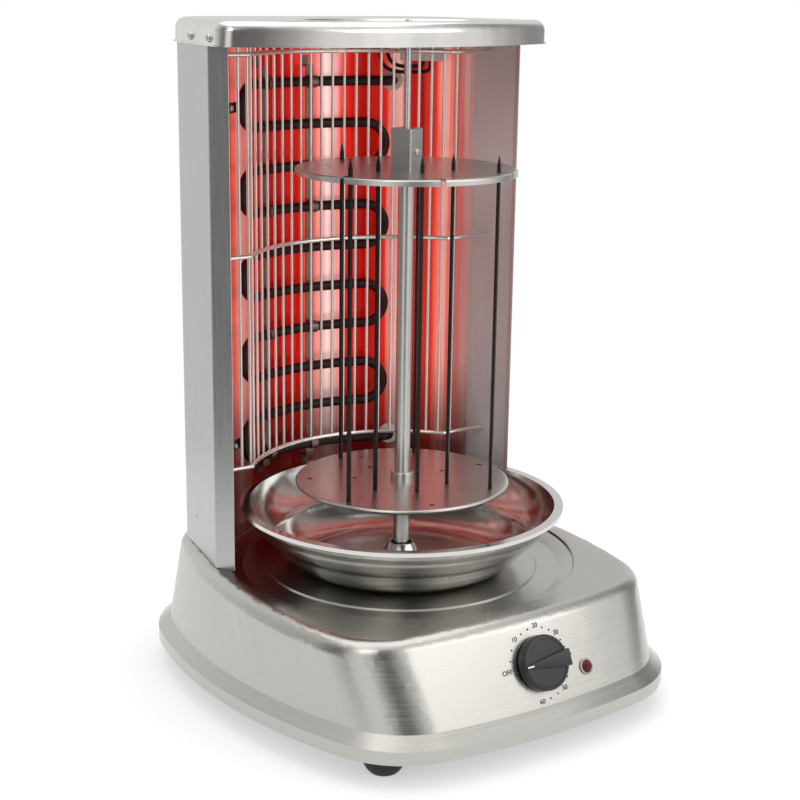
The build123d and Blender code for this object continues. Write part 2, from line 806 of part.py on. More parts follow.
def make_upper_disc():
    """Disc with a down-turned rim, a slot open at the rim for each outer skewer and a hole for each inner one."""
    disc = standing(disc_radius, upper_rim_drop, upper_disc_top - upper_rim_drop)
    disc = fillet(disc.edges().group_by(Axis.Z)[-1], 1.5)
    disc -= standing(disc_radius - disc_sheet, upper_rim_drop, upper_disc_top - disc_sheet - upper_rim_drop)
    for index in range(skewer_places):
        angle, place = skewer_place("outer", index)
        reach = disc_radius - outer_circle + 4
        slot = Plane(origin=(place.X, place.Y, upper_disc_top), x_dir=around(angle, 1), z_dir=(0, 0, 1))
        disc -= slot * Box(reach, 2 * skewer_hole, 4 * upper_rim_drop, align=(Align.MIN, Align.CENTER, Align.CENTER))
        disc -= slot * Cylinder(skewer_hole, 4 * upper_rim_drop)
        hole = skewer_place("inner", index)[1]
        disc -= standing(skewer_hole, 4 * disc_sheet, upper_disc_top - 2 * disc_sheet, hole.X, hole.Y)
    return disc - standing(tube_outer + running, 4 * disc_sheet, upper_disc_top - 2 * disc_sheet)


def make_centre_tube():
    tube = standing(tube_outer, tube_top - tube_bottom, tube_bottom)
    tube -= standing(tube_bore, tube_top, tube_bottom - 1)
    return tube - rod_between((-tube_outer - 1, 0, pin_height), (tube_outer + 1, 0, pin_height), pin_radius + running)


pin_height = tube_bottom + 3.0
shaft_top = tube_bottom + shaft_rise


def make_drive_shaft():
    shaft = standing(shaft_radius, shaft_top - motor_bottom - 6, motor_bottom + 6)
    shaft = chamfer(shaft.edges().group_by(Axis.Z)[-1], 0.8)
    return shaft - rod_between((-10, 0, pin_height), (10, 0, pin_height), pin_radius + running)


def make_drive_pin():
    return rod_between((-pin_length / 2, 0, pin_height), (pin_length / 2, 0, pin_height), pin_radius)


def make_disc_collar():
    """Flanged collar that seats the lower disc on the tube."""
    collar = standing(collar_radius, collar_height, lower_disc_top)
    collar = fillet(collar.edges().group_by(Axis.Z)[-1], 1.2)
    return collar - standing(tube_outer + running, 2 * collar_height, lower_disc_top - 1)


hub_plane = Plane(origin=(0, 0, upper_disc_top), x_dir=around(first_place + 2, 1), z_dir=(0, 0, 1))
hub_screw_height = 12.0


def make_hub_bracket():
    """Folded box on the upper disc, open at its back: the pivot rod runs in its top."""
    up = (Align.CENTER, Align.CENTER, Align.MIN)
    box = Box(hub_width, hub_width, hub_height, align=up)
    box = fillet(box.edges().filter_by(Axis.Z), 1.0)
    inner = hub_width - 2 * hub_sheet
    box -= Pos(-hub_sheet, 0, 0) * Box(inner + 2 * hub_sheet, inner, hub_height - hub_sheet, align=up)
    box -= Cylinder(rod_radius + running, 3 * hub_height)
    box -= Pos(0, hub_width / 2, hub_screw_height) * Rot(90, 0, 0) * Cylinder(1.6, 8)
    return hub_plane * box


def make_hub_screw():
    screw = pan_screw((0, hub_width / 2, hub_screw_height), (0, 1, 0), hub_width / 2 - tube_outer - seat_gap)
    return hub_plane * screw


def make_skewer(circle, index):
    """Square rod, flat at the foot and pointed at the top."""
    angle, place = skewer_place(circle, index)
    foot = cup_floor + seat_gap
    up = (Align.CENTER, Align.CENTER, Align.MIN)
    rod = Box(skewer_width, skewer_width, skewer_top - skewer_point - foot, align=up)
    shoulder = Pos(0, 0, skewer_top - skewer_point - foot)
    point = shoulder * loft(
        [Rectangle(skewer_width, skewer_width), Pos(0, 0, skewer_point) * Rectangle(0.4, 0.4)], ruled=True
    )
    plane = Plane(origin=(place.X, place.Y, foot), x_dir=around(angle, 1), z_dir=(0, 0, 1))
    return plane * (rod + point)


# ---------------------------------------------------------------- drip bowl
def make_drip_bowl():
    """Pressed bowl: flat rim with a turned edge, wall with a ridge, raised boss round the spindle."""
    half = bowl_sheet / 2
    rim_z = bowl_rim_top - half
    floor_z = bowl_bottom + half
    edge_r = bowl_rim_radius - half
    wall_r = bowl_rim_radius - bowl_rim_width
    ridge_z = floor_z + bowl_step_height
    boss_z = floor_z + boss_height
    upper_bow = ((wall_r + bowl_step_radius) / 2 + 2.6, (rim_z + ridge_z) / 2 - 2.6)
    low_r = bowl_step_radius - bowl_step
    low_z = ridge_z - bowl_step / 2
    lower_bow = ((low_r + bowl_floor_radius) / 2 + 2.6, (low_z + floor_z) / 2 - 2.6)
    path = (
        Line((edge_r, rim_z - 2.6), (edge_r, rim_z))
        + Line((edge_r, rim_z), (wall_r, rim_z))
        + ThreePointArc((wall_r, rim_z), upper_bow, (bowl_step_radius, ridge_z))
        + Line((bowl_step_radius, ridge_z), (low_r, low_z))
        + ThreePointArc((low_r, low_z), lower_bow, (bowl_floor_radius, floor_z))
        + Line((bowl_floor_radius, floor_z), (boss_foot_radius, floor_z))
        + Line((boss_foot_radius, floor_z), (boss_radius, boss_z))
        + Line((boss_radius, boss_z), (boss_hole, boss_z))
    )
    return revolve(Plane.XZ * trace(path, line_width=bowl_sheet), Axis.Z)


# ---------------------------------------------------------------- timer, lamp and drive
def on_panel(plane, height, solid):
    return plane.offset(height) * solid


base_up = (Align.CENTER, Align.CENTER, Align.MIN)
base_down = (Align.CENTER, Align.CENTER, Align.MAX)


def make_timer_knob():
    """Round knob with a wedge-shaped grip across its face, narrow end at the pointer."""
    body = loft([Circle(knob_radius), Pos(0, 0, knob_height) * Circle(knob_top_radius)], ruled=True)
    body = fillet(body.edges().group_by(Axis.Z)[-1], 1.0)
    tip = knob_radius + grip_reach
    wedge = make_face(
        Polyline(
            (-knob_top_radius + 0.6, -1.2), (tip, -grip_width / 2), (tip, grip_width / 2),
            (-knob_top_radius + 0.6, 1.2), close=True,
        )
    )
    grip = extrude(wedge, knob_height + grip_height, taper=6)
    grip &= Cylinder(tip - 0.2, 3 * knob_height)
    knob = body + grip
    knob -= Cylinder(timer_shaft + running, 2 * (knob_height + 1))
    return on_panel(knob_plane, knob_gap, knob)




def make_timer_shaft():
    length = timer_box[2] + panel_back + knob_gap + knob_height
    return on_panel(knob_plane, knob_gap + knob_height, Cylinder(timer_shaft, length, align=base_down))


def make_timer_unit():
    width, height, depth = timer_box
    body = Pos(0, 0, -panel_back) * Box(width, height, depth, align=base_down)
    body = fillet(body.edges().filter_by(Axis.Z), 3)
    neck = Pos(0, 0, -panel_back) * Cylinder(timer_neck, panel_back + 0.4, align=base_up)
    return knob_plane * (body + neck - Cylinder(timer_shaft + running, 3 * depth))


def make_lamp_lens():
    """Faceted lens with its tube through the panel."""
    lens = loft([RegularPolygon(lamp_radius, 10), Pos(0, 0, 3.2) * RegularPolygon(lamp_radius * 0.45, 10)], ruled=True)
    tube = Cylinder(lamp_radius - 0.4, 8, align=base_down)
    return lamp_plane * (Pos(0, 0, 1.2) * lens + Pos(0, 0, 1.2) * tube)


def make_lamp_bezel():
    ring = Cylinder(bezel_radius, 1.1, align=base_up)
    ring = fillet(ring.edges().group_by(Axis.Z)[-1], 0.5)
    return lamp_plane * (Pos(0, 0, 0.1) * (ring - Cylinder(lamp_radius + 0.05, 6)))


def make_lamp_body():
    body = Cylinder(lamp_radius + 1.4, 12, align=base_down)
    return lamp_plane * Pos(0, 0, -panel_back) * (body - Cylinder(lamp_radius - 0.35, 2 * (8 - 1.2)))


def make_spindle_bush():
    bush = standing(bush_radius, 6, bowl_bottom - 6) + standing(bush_flange, 1.6, bowl_bottom)
    return bush - standing(shaft_radius + running, 30, bowl_bottom - 15)


def make_gear_motor():
    """Flat synchronous gear motor with a neck round its shaft."""
    body = standing(motor_radius, motor_height, motor_bottom)
    body = fillet(body.edges().group_by(Axis.Z)[0], 2)
    body += standing(8, 5, motor_bottom + motor_height)
    for side in (-1, 1):
        body += Pos(side * (motor_radius + 3), 0, motor_bottom + motor_height - 1) * Box(14, 12, 2)
        body -= standing(1.6, 6, motor_bottom + motor_height - 3, side * motor_screw_x)
    return body - standing(shaft_radius + running, 40, motor_bottom + 5)


motor_screw_x = motor_radius + 5.0
motor_plate_bottom = motor_bottom + motor_height


def make_motor_bracket():
    """Bridge that hangs the motor from the underside of the recess."""
    thick = 1.5
    span = 2 * motor_radius + 34
    underside = bowl_bottom - sheet
    bridge = Pos(0, 0, motor_plate_bottom + seat_gap + thick / 2) * Box(span, 26, thick)
    leg_height = underside - motor_plate_bottom - 2 * seat_gap
    for side in (-1, 1):
        leg = Pos(side * (span - thick) / 2, 0, motor_plate_bottom + seat_gap + leg_height / 2)
        bridge += leg * Box(thick, 26, leg_height)
        foot = Pos(side * (span / 2 + 6), 0, underside - seat_gap - thick / 2)
        bridge += foot * Box(12 + 2 * thick, 26, thick)
    for side in (-1, 1):
        bridge -= standing(1.6, 10, motor_plate_bottom - 2, side * motor_screw_x)
    return bridge - standing(8 + seat_gap, 10, motor_plate_bottom - 2)


def make_motor_screw(side):
    seat = (side * motor_screw_x, 0, motor_plate_bottom + seat_gap + 1.5)
    return pan_screw(seat, (0, 0, 1), 6)


def make_terminal_block():
    """Screw terminals on the base plate, one way for each wire."""
    floor = foot_height + seat_gap + plate_thickness + seat_gap
    block = Pos(70, 40, floor) * Box(42, 18, 8, align=base_up)
    for way in range(4):
        x = 70 + 10 * (way - 1.5)
        block += Pos(x, 40, floor + 8) * Box(7, 12, 6, align=base_up)
        block -= Pos(x, 40, floor + 10) * Rot(90, 0, 0) * Cylinder(1.4, 40)
    return block


def make_cord_gland():
    """Inlet bush in the base's back wall."""
    flange = Pos(0, 0, seat_gap) * Cylinder(gland_radius + 3, 3, align=base_up)
    flange = fillet(flange.edges().group_by(Axis.Z)[-1], 1.2)
    body = Pos(0, 0, seat_gap) * Cylinder(gland_radius, 9, align=base_down)
    return gland_plane * (flange + body - Cylinder(3.8, 40))


# ---------------------------------------------------------------- out
# the row's origin is on the table under the middle of the skirt, in front of the spit's axis
footprint = Pos(0, (skirt_front - skirt_back) / 2, 0)


def save(name, *solids):
    """Writes one node; several solids stay separate in it."""
    placed = [footprint * solid for solid in solids]
    part = placed[0] if len(placed) == 1 else Compound(children=placed)
    export_step(part, f"parts/{name}.step")


os.makedirs("parts", exist_ok=True)

places = terminal_places()
save("base_shell", make_base_shell())
save("base_plate", make_base_plate())
save("rubber_feet", *[make_foot(x, y) for x, y in foot_places])
save("foot_screws", *[make_foot_screw(x, y) for x, y in foot_places])
save("casing", make_casing())
save("reflector", make_reflector())
save("reflector_screws", *[make_reflector_screw(*place) for place in reflector_screw_places])
save("top_cover", make_top_cover())
save("cover_screws", *[make_cover_screw(side, y) for side in (-1, 1) for y in cover_screw_y])
save("pivot_plate", make_pivot_plate())
save("pivot_plate_screws", *[make_plate_screw(side) for side in (-1, 1)])
save("rod_nut", make_rod_nut(plate_top - pivot_plate[2] - seat_gap - 5, 5))
save("rod_lock_nut", make_rod_nut(dish_floor + seat_gap, 3.4))
save("top_pivot_rod", make_top_pivot_rod())
save("heating_element", make_heating_element())
save("element_insulators", *[make_insulator(*place) for place in places])
save("terminal_pins", *[make_terminal_pin(*place) for place in places])
save("element_straps", *[make_element_strap(angle) for angle in strap_angles])
save("element_clips", *[make_element_clip(row) for row in clip_rows])
save("clip_screws", *[make_clip_screw(row) for row in clip_rows])
save("terminal_box", make_terminal_box())
save("heater_lead_1", make_lead(0.0, 0.0))
save("heater_lead_2", make_lead(2.5, 4.5))
save("wire_guard", make_wire_guard())
save("drive_shaft", make_drive_shaft())
save("drive_pin", make_drive_pin())
save("centre_tube", make_centre_tube())
save("disc_collar", make_disc_collar())
save("lower_disc", make_lower_disc())
save("upper_disc", make_upper_disc())
save("hub_bracket", make_hub_bracket())
save("hub_screw", make_hub_screw())
for number, (circle, index) in enumerate(loaded, start=1):
    save(f"skewer_{number}", make_skewer(circle, index))
save("drip_bowl", make_drip_bowl())
save("timer_knob", make_timer_knob())
save("timer_shaft", make_timer_shaft())
save("timer_unit", make_timer_unit())
save("lamp_lens", make_lamp_lens())
save("lamp_bezel", make_lamp_bezel())
save("lamp_body", make_lamp_body())
save("spindle_bush", make_spindle_bush())
save("gear_motor", make_gear_motor())
save("motor_bracket", make_motor_bracket())
save("motor_screws", *[make_motor_screw(side) for side in (-1, 1)])
save("terminal_block", make_terminal_block())
save("cord_gland", make_cord_gland())
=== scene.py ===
import bpy
import json
import math
import numpy as np
from mathutils import Euler, Matrix, Vector

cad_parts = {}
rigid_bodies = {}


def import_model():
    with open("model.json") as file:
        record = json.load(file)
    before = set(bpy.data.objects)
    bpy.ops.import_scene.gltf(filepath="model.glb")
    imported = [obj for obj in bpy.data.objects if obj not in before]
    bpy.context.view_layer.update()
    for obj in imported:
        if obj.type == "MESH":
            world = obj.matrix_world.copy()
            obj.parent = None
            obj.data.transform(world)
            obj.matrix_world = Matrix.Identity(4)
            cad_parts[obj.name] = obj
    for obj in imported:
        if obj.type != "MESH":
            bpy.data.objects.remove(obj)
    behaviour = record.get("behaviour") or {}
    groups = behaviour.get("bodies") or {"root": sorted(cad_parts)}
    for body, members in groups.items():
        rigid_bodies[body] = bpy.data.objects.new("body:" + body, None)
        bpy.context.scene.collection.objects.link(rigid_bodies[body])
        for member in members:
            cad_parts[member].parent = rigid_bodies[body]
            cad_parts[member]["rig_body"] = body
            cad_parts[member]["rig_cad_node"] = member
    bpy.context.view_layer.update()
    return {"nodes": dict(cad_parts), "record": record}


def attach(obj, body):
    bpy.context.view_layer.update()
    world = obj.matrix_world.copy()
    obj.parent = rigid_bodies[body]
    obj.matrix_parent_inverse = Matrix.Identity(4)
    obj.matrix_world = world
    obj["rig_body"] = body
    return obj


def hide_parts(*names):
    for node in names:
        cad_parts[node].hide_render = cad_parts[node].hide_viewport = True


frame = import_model()
nodes = frame["nodes"]

mm = 0.001  # sizes below are in mm and angles in degrees, unless a note says otherwise
spitY = 10.75 * mm  # the spit's axis stands this far behind the middle of the footprint

white = (1, 1, 1, 1)
noiseLow, noiseHigh = 0.3, 0.7  # nearly all of a noise texture lies between these
mixFirst, mixSecond, mixResult = 6, 7, 2  # the colour sockets of a Mix node, by number


def toLinear(hexColour):
    # sRGB hex to the linear numbers that a shader takes
    channels = []
    for start in (0, 2, 4):
        value = int(hexColour[start:start + 2], 16) / 255
        channels.append(value / 12.92 if value <= 0.04045 else ((value + 0.055) / 1.055) ** 2.4)
    return (*channels, 1.0)


def addNode(tree, kind, settings=None, links=None):
    # settings: property, or input by name or number -> value; links: input -> output of another node
    node = tree.nodes.new(kind)
    for key, value in (settings or {}).items():
        if isinstance(key, int) or key in node.inputs.keys():
            node.inputs[key].default_value = value
        else:
            setattr(node, key, value)
    for key, source in (links or {}).items():
        tree.links.new(source, node.inputs[key])
    return node


def addRange(tree, source, fromMin, fromMax, toMin, toMax):
    # draws the numbers of one range out over another
    node = addNode(
        tree, "ShaderNodeMapRange",
        {"From Min": fromMin, "From Max": fromMax, "To Min": toMin, "To Max": toMax}, {"Value": source},
    )
    return node.outputs["Result"]


def addRamp(tree, source, stops):
    # stops: (position, colour), in order; the ramp comes with its first and last already there
    ramp = addNode(tree, "ShaderNodeValToRGB", None, {"Fac": source})
    for stop, (position, colour) in zip(ramp.color_ramp.elements, (stops[0], stops[-1])):
        stop.position = position
        stop.color = colour
    for position, colour in stops[1:-1]:
        stop = ramp.color_ramp.elements.new(position)
        stop.color = colour
    return ramp.outputs["Color"]


def addGrain(tree, place, grain, settings):
    # noise with the grain's real size, in mm along X, Y and Z
    mapping = addNode(
        tree, "ShaderNodeMapping", {"Scale": [1 / (size * mm) for size in grain]}, {"Vector": place}
    )
    noise = addNode(tree, "ShaderNodeTexNoise", settings, {"Vector": mapping.outputs["Vector"]})
    return noise.outputs["Fac"]


def newMaterial(name, colour, roughness, metallic=0.0, sockets=None):
    material = bpy.data.materials.new(name)
    material.use_nodes = True
    tree = material.node_tree
    shader = tree.nodes["Principled BSDF"]
    shader.inputs["Base Color"].default_value = toLinear(colour)
    shader.inputs["Roughness"].default_value = roughness
    shader.inputs["Metallic"].default_value = metallic
    for key, value in (sockets or {}).items():
        shader.inputs[key].default_value = value
    material.diffuse_color = toLinear(colour)
    return material, tree, shader


def deselectAll():
    if bpy.context.mode != "OBJECT":
        bpy.ops.object.mode_set(mode="OBJECT")
    bpy.ops.object.select_all(action="DESELECT")


def pick(obj):
    deselectAll()
    obj.select_set(True)
    bpy.context.view_layer.objects.active = obj


def settle(obj):
    # puts an object's place into its mesh, so that it sits at the origin like a CAD node
    pick(obj)
    bpy.ops.object.transform_apply(location=True, rotation=True, scale=True)


def wearMaterial(obj, material):
    obj.data.materials.clear()
    obj.data.materials.append(material)


def clearAway(obj):
    bpy.data.objects.remove(obj, do_unlink=True)


def joinAll(objects):
    if len(objects) == 1:
        return objects[0]
    deselectAll()
    for obj in objects:
        obj.select_set(True)
    bpy.context.view_layer.objects.active = objects[0]
    bpy.ops.object.join()
    return objects[0]


def smoothByAngle(obj, degrees):
    pick(obj)
    bpy.ops.object.shade_smooth_by_angle(angle=math.radians(degrees))


def combine(piece, tool, operation):
    # cuts the tool out of the piece, or grows it on, and clears the tool away
    pick(piece)
    both = piece.modifiers.new("both", "BOOLEAN")
    both.operation = operation
    both.solver = "EXACT"
    both.object = tool
    bpy.ops.object.modifier_apply(modifier=both.name)
    clearAway(tool)


def finishPiece(obj, name, material, body, slotName, *stoodFor):
    obj.name = name
    obj.data.name = name
    wearMaterial(obj, material)
    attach(obj, body)
    if stoodFor:
        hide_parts(*stoodFor)
    return obj


# fitted to the photograph: 1.2 m from the spit, 14.5 degrees down, from the left of the front
cameraSetup = {
    "location": (-0.68390, -0.97530, 0.52939),  # in m
    "turn": -34.63,
    "tilt": 90 - 14.49,
    "roll": 0.79,
    "lens": 72.33,
    "sensor": 36.0,
    "clipStart": 0.05,  # in m
}
cameraData = bpy.data.cameras.new("photoCamera")
cameraData.lens = cameraSetup["lens"]
cameraData.sensor_width = cameraSetup["sensor"]
cameraData.clip_start = cameraSetup["clipStart"]
camera = bpy.data.objects.new("photoCamera", cameraData)
bpy.context.scene.collection.objects.link(camera)
looking = Euler((math.radians(cameraSetup["tilt"]), 0, math.radians(cameraSetup["turn"]))).to_matrix()
looking = looking @ Matrix.Rotation(math.radians(cameraSetup["roll"]), 3, "Z")
camera.matrix_world = Matrix.Translation(cameraSetup["location"]) @ looking.to_4x4()
bpy.context.scene.camera = camera
print("camera placed")


def finish(name, colour, roughness, metallic, grain, roughDepth, bump, tint, sockets=None):
    # grain and bump are in mm; the roughness strays by roughDepth, and the colour by tint as a share of it
    material, tree, shader = newMaterial(name, colour, roughness, metallic, sockets)
    place = addNode(tree, "ShaderNodeTexCoord").outputs["Object"]
    noise = addGrain(tree, place, grain, {"Scale": 1.0, "Detail": 3.0, "Roughness": 0.6})
    rough = addRange(tree, noise, noiseLow, noiseHigh, roughness - roughDepth, roughness + roughDepth)
    tree.links.new(rough, shader.inputs["Roughness"])
    plain = toLinear(colour)[:3]
    dark = (*[channel * (1 - tint) for channel in plain], 1)
    light = (*[min(1, channel * (1 + tint)) for channel in plain], 1)
    shade = addRamp(tree, noise, ((noiseLow, dark), (noiseHigh, light)))
    tree.links.new(shade, shader.inputs["Base Color"])
    raised = addNode(tree, "ShaderNodeBump", {"Strength": 1.0, "Distance": bump * mm}, {"Height": noise})
    tree.links.new(raised.outputs["Normal"], shader.inputs["Normal"])
    if sockets and "Anisotropic" in sockets:
        across = addNode(tree, "ShaderNodeTangent", {"direction_type": "RADIAL", "axis": "Z"})
        tree.links.new(across.outputs["Tangent"], shader.inputs["Tangent"])
    return material


# 304 stainless, belt brushed level: reflections smear up and down into upright bands
baseSteel = finish(
    "brushedStainlessBase", "BCBAB4", roughness=0.25, metallic=1.0, grain=(70, 70, 0.9),
    roughDepth=0.04, bump=0.003, tint=0.035, sockets={"Anisotropic": 0.65, "Anisotropic Rotation": 0.25},
)
# 430 stainless sheet with a fine upright brush, drawn coarser than life so that it shows: cool light grey
casingSteel = finish(
    "brushedStainlessCasing", "B4B4B3", roughness=0.30, metallic=1.0, grain=(0.8, 0.8, 60),
    roughDepth=0.05, bump=0.002, tint=0.025,
)
# the same sheet's unbrushed side: paler, and dull enough to spread the heater's red
millSteel = finish(
    "millFinishSheet", "DCDBDA", roughness=0.46, metallic=0.2, grain=(6, 6, 40),
    roughDepth=0.06, bump=0.004, tint=0.03,
)
# pressed stainless, buffed: clear but slightly soft reflections, drawn out upright
coverSteel = finish(
    "buffedStainlessCover", "D4D2CE", roughness=0.17, metallic=1.0, grain=(22, 22, 160),
    roughDepth=0.04, bump=0.001, tint=0.06,
)
# spun stainless, buffed on the lathe: the same soft mirror, with rings so faint that they only blur it
bowlSteel = finish(
    "buffedStainlessBowl", "D2D1CE", roughness=0.16, metallic=1.0, grain=(40, 40, 1.6),
    roughDepth=0.04, bump=0.0012, tint=0.04,
)
# blanked sheet, tumbled: an even satin with faint clouding
discSteel = finish(
    "satinStainlessDisc", "C6C4C0", roughness=0.30, metallic=1.0, grain=(16, 16, 16),
    roughDepth=0.03, bump=0.0006, tint=0.03,
)
# zinc plate: small bright heads, a little clouded
screwSteel = finish(
    "zincPlatedScrew", "C6C6C4", roughness=0.26, metallic=1.0, grain=(2, 2, 2),
    roughDepth=0.05, bump=0.0006, tint=0.05,
)
# hot-dip zinc: grey spangles
plateSteel = finish(
    "galvanisedPlate", "9A9C9E", roughness=0.45, metallic=1.0, grain=(7, 7, 7),
    roughDepth=0.08, bump=0.01, tint=0.12,
)
# steel strip dulled by the heat: brownish grey and patchy
strapSteel = finish(
    "heatDulledStrap", "8A7A70", roughness=0.42, metallic=1.0, grain=(4, 4, 4),
    roughDepth=0.08, bump=0.01, tint=0.15,
)
# chrome-plated mild-steel wire: bright, a little uneven from drawing
wireSteel = finish(
    "chromedWire", "EEE6E2", roughness=0.20, metallic=0.9, grain=(2, 2, 30),
    roughDepth=0.05, bump=0.001, tint=0.05,
)
# oxidised nickel-steel sheath: nearly black oxide, tinted red-brown as a painted red sheen of the heater's
# light
sheathSteel = finish(
    "oxidisedSheathPaintedSheen", "2A1210", roughness=0.40, metallic=0.4, grain=(3, 3, 3),
    roughDepth=0.10, bump=0.02, tint=0.35,
)
# oiled black steel: near black, with a soft light along each edge
skewerSteel = finish(
    "oiledBlackSkewer", "1E1C1B", roughness=0.36, metallic=0.6, grain=(3, 3, 14),
    roughDepth=0.08, bump=0.01, tint=0.20,
)
# glazed steatite: warm off-white with a soft gloss
ceramic = finish(
    "glazedSteatite", "E4DED4", roughness=0.30, metallic=0.0, grain=(2.5, 2.5, 2.5),
    roughDepth=0.06, bump=0.01, tint=0.04,
)
# silicone over the leads: matt black
leadSleeve = finish(
    "siliconeSleeve", "0E0E0E", roughness=0.55, metallic=0.0, grain=(0.8, 0.8, 0.8),
    roughDepth=0.05, bump=0.02, tint=0.15,
)
# moulded phenolic with a fine sparked face: dark grey with a soft sheen on its rims
knobPlastic = finish(
    "mouldedPhenolicKnob", "1F2023", roughness=0.33, metallic=0.0, grain=(0.7, 0.7, 0.7),
    roughDepth=0.05, bump=0.008, tint=0.10,
)
# moulded nitrile: dull black that hardly catches the light
rubber = finish(
    "mouldedNitrileFoot", "111111", roughness=0.58, metallic=0.0, grain=(1.2, 1.2, 1.2),
    roughDepth=0.06, bump=0.02, tint=0.12,
)
# nylon without dye: waxy cream
plainNylon = finish(
    "naturalNylon", "D8D2C4", roughness=0.42, metallic=0.0, grain=(4, 4, 4),
    roughDepth=0.05, bump=0.01, tint=0.03,
)
# plain moulding out of sight: dull dark grey
greyMoulding = finish(
    "greyMoulding", "3A3A3C", roughness=0.50, metallic=0.0, grain=(1, 1, 1),
    roughDepth=0.05, bump=0.01, tint=0.08,
)
# cast acrylic over a neon: deep red that catches one clear highlight
lensAcrylic = finish(
    "redAcrylicLens", "5C0618", roughness=0.28, metallic=0.0, grain=(1.5, 1.5, 1.5),
    roughDepth=0.05, bump=0.004, tint=0.30, sockets={"Specular IOR Level": 0.3},
)
# moulded ring round the lamp: pale satin grey
lampRing = finish(
    "paleLampRing", "A8A7A4", roughness=0.36, metallic=0.0, grain=(1, 1, 1),
    roughDepth=0.04, bump=0.005, tint=0.03,
)
# screen-print ink: matt and nearly black
dialInk = finish(
    "screenPrintInk", "1C1B1A", roughness=0.6, metallic=0.0, grain=(0.5, 0.5, 0.5),
    roughDepth=0.05, bump=0.001, tint=0.15,
)
# ink filled into the knob: plain matt white
pointerInk = finish(
    "whitePointerInk", "F2F2F0", roughness=0.5, metallic=0.0, grain=(0.5, 0.5, 0.5),
    roughDepth=0.05, bump=0.001, tint=0.02,
)

# mirror-finish steel with the heater's light painted in: painted upright bands of deep red, pink and
# near-white reflection, a painted glow, and painted shade at its foot
glowSetup = {
    "plain": "C01810",
    "roughness": 0.24,
    "metallic": 0.5,
    "specular": 0.25,
    # painted glow: the reflector gives off light of its own, though it is no lamp
    "glow": 0.5,
    "halfAngle": 0.96,  # the folds reach this far round behind the spit, in radians
    # painted shade: the painted heater light fades towards the reflector's foot, between these heights
    "footFrom": 145.0,  # the height where the heater's light sets in, with this share of it
    "footShare": 0.12,
    "footTo": 220.0,  # and the height from which it is full
    "paintedFootShade": "2A0A08",
    "streak": (5.0, 5.0, 250.0),  # the upright unevenness of a thin mirror
    "waver": 0.012,  # how far it moves the bands, as a share of the whole width
    # painted reflections and highlights of the heater's light, as upright bands
    "bands": (
        (0.00, "B88078"), (0.06, "ECC0B8"), (0.11, "B4120C"), (0.19, "E8341F"), (0.24, "F6B8AC"),
        (0.30, "DC1A10"), (0.40, "9A0805"), (0.48, "DC1E14"), (0.53, "F0685A"), (0.58, "FFE0DA"),
        (0.63, "E8281C"), (0.70, "A00805"), (0.75, "E42C20"), (0.79, "F8C4BA"), (0.82, "D8221A"),
        (0.86, "8C0806"), (0.90, "E4402F"), (0.93, "F0A498"), (0.96, "B8352C"), (1.00, "B08680"),
    ),
}


def paintedGlowReflector(name):
    material, tree, shader = newMaterial(
        name, glowSetup["plain"], glowSetup["roughness"], glowSetup["metallic"],
        {"Specular IOR Level": glowSetup["specular"], "Emission Strength": glowSetup["glow"]},
    )
    place = addNode(tree, "ShaderNodeTexCoord").outputs["Object"]
    split = addNode(tree, "ShaderNodeSeparateXYZ", None, {"Vector": place})
    behindSpit = addNode(
        tree, "ShaderNodeMath", {"operation": "SUBTRACT", 1: spitY}, {0: split.outputs["Y"]}
    )
    angle = addNode(
        tree, "ShaderNodeMath", {"operation": "ARCTAN2"},
        {0: split.outputs["X"], 1: behindSpit.outputs["Value"]},
    )
    across = addRange(
        tree, angle.outputs["Value"], -glowSetup["halfAngle"], glowSetup["halfAngle"], 0.0, 1.0
    )
    streaks = addGrain(tree, place, glowSetup["streak"], {"Scale": 1.0, "Detail": 2.0})
    waver = addRange(tree, streaks, noiseLow, noiseHigh, -glowSetup["waver"], glowSetup["waver"])
    wavered = addNode(tree, "ShaderNodeMath", {"operation": "ADD"}, {0: across, 1: waver})
    bands = addRamp(
        tree, wavered.outputs["Value"],
        [(position, toLinear(colour)) for position, colour in glowSetup["bands"]],
    )
    # painted shade: darker towards the foot
    lit = addRange(
        tree, split.outputs["Z"],
        glowSetup["footFrom"] * mm, glowSetup["footTo"] * mm, glowSetup["footShare"], 1.0,
    )
    shade = addNode(
        tree, "ShaderNodeMix", {"data_type": "RGBA", mixFirst: toLinear(glowSetup["paintedFootShade"])},
        {0: lit, mixSecond: bands},
    )
    # the painted light goes into the colour, and glows as emission
    for socket in ("Base Color", "Emission Color"):
        tree.links.new(shade.outputs[mixResult], shader.inputs[socket])
    return material


reflectorPaintedGlow = paintedGlowReflector("mirrorReflectorPaintedGlow")
print("materials made")

